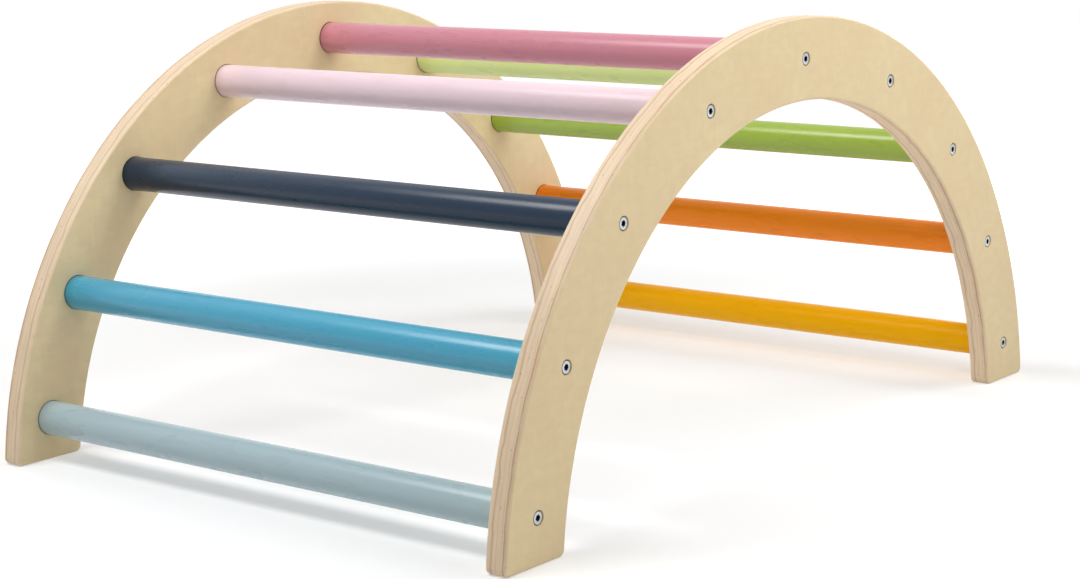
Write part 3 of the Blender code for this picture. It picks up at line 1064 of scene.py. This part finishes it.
def light_room(stage):
    """An even white room: full white where it is seen, and almost no light of its own."""
    world = bpy.data.worlds.new("white_room")
    bpy.context.scene.world = world
    world.use_nodes = True
    tree = world.node_tree
    tree.nodes.clear()
    strength = add_node(
        tree, "ShaderNodeMix", {0: white_where_seen(tree), 2: stage.room_level, 3: 1.0},
        data_type="FLOAT",
    ).outputs[0]
    background = add_node(
        tree, "ShaderNodeBackground", {"Color": WHITE, "Strength": strength}
    ).outputs[0]
    add_node(tree, "ShaderNodeOutputWorld", {"Surface": background})


def add_camera():
    """The camera, where the photograph was taken from."""
    camera = bpy.data.cameras.new("photo_camera")
    camera.lens = CAMERA_LENS_MM
    camera.sensor_width = CAMERA_SENSOR_MM
    camera.shift_x, camera.shift_y = CAMERA_SHIFT
    holder = bpy.data.objects.new("photo_camera", camera)
    bpy.context.scene.collection.objects.link(holder)
    turn = (
        Matrix.Rotation(-CAMERA_HEADING, 4, "Z")
        @ Matrix.Rotation(math.pi / 2 - CAMERA_TILT, 4, "X")
        @ Matrix.Rotation(CAMERA_ROLL, 4, "Z")
    )
    holder.matrix_world = Matrix.Translation(CAMERA_PLACE) @ turn
    bpy.context.scene.camera = holder


class CLIMBING_ARCH_OT_stage(bpy.types.Operator):
    """Make the white floor, the soft studio light and the camera"""

    bl_idname = "climbing_arch.make_stage"
    bl_label = "Make Stage"

    def execute(self, context):
        stage = context.scene.climbing_arch.stage
        bm = bmesh.new()
        bmesh.ops.create_grid(bm, x_segments=1, y_segments=1, size=stage.floor_size / 2)
        bmesh.ops.translate(bm, verts=bm.verts, vec=(0, 0, -FLOOR_GAP))
        floor = add_piece(bm, "floor")
        floor.data.materials.append(paper_floor(stage))
        light_room(stage)
        for name, place, length, width in LIGHTS:
            add_area_light(name + "_light", place, getattr(stage, name), length, width)
        add_camera()
        context.scene.view_settings.view_transform = "Standard"
        return {"FINISHED"}


class CLIMBING_ARCH_PT_sidebar(bpy.types.Panel):
    """Sizes, colours and the pieces of the climbing arch"""

    bl_idname = "CLIMBING_ARCH_PT_sidebar"
    bl_label = "Climbing Arch"
    bl_space_type = "VIEW_3D"
    bl_region_type = "UI"
    bl_category = "Climbing Arch"

    def draw(self, context):
        settings = context.scene.climbing_arch
        for group_name, operators in SIDEBAR_GROUPS:
            box = self.layout.box()
            group = getattr(settings, group_name)
            for setting in group.__annotations__:
                box.prop(group, setting)
            for operator in operators:
                box.operator(operator.bl_idname)


SIDEBAR_GROUPS = (
    ("panels", (CLIMBING_ARCH_OT_panels,)),
    ("rungs", (CLIMBING_ARCH_OT_rungs,)),
    ("hardware", (CLIMBING_ARCH_OT_bolts, CLIMBING_ARCH_OT_inserts)),
    ("stage", (CLIMBING_ARCH_OT_stage,)),
)

CLASSES = (
    ArchPanelSettings,
    RungSettings,
    HardwareSettings,
    StageSettings,
    ClimbingArchSettings,
    CLIMBING_ARCH_OT_panels,
    CLIMBING_ARCH_OT_rungs,
    CLIMBING_ARCH_OT_bolts,
    CLIMBING_ARCH_OT_inserts,
    CLIMBING_ARCH_OT_stage,
    CLIMBING_ARCH_PT_sidebar,
)


def register():
    for cls in CLASSES:
        bpy.utils.register_class(cls)
    bpy.types.Scene.climbing_arch = PointerProperty(type=ClimbingArchSettings)


def unregister():
    del bpy.types.Scene.climbing_arch
    for cls in reversed(CLASSES):
        bpy.utils.unregister_class(cls)


def main():
    register()
    bpy.ops.climbing_arch.make_panels()
    bpy.ops.climbing_arch.make_rungs()
    bpy.ops.climbing_arch.make_bolts()
    bpy.ops.climbing_arch.make_inserts()
    bpy.ops.climbing_arch.make_stage()


if __name__ == "__main__":
    main()
